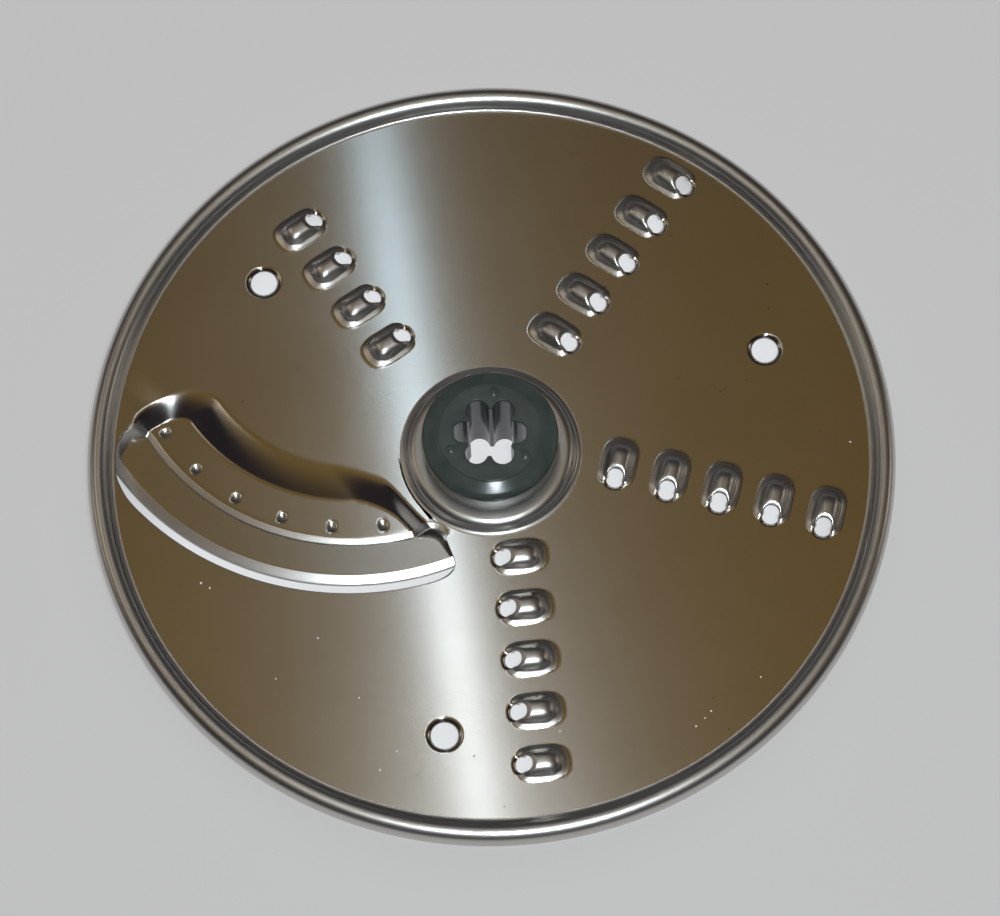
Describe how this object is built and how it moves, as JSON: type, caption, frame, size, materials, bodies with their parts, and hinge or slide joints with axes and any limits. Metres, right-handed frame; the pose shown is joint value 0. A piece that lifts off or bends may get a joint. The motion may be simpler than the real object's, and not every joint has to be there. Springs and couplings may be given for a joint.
{
  "type": "food processor disc",
  "caption": "Reversible food processor disc: pressed steel plate with raised shredding cups, a curved slicing blade under a pressed platform, a rolled rim and a plastic drive hub.",
  "frame": {"origin": "centre of the hub's lower face, on the spin axis", "axes": "+Z along the spin axis, out of the shredding side; +X to the right and +Y away from the viewer in the picture"},
  "size_m": [0.178, 0.178, 0.0238],
  "materials": {
    "plate_steel": "brushed, in one direction",
    "blade_steel": "brushed, with a ground bevel",
    "hub_plastic": "satin moulding"
  },
  "bodies": {
    "root": {"disc_plate": "plate_steel", "slicing_blade": "blade_steel", "hub": "hub_plastic"}
  },
  "joints": []
}
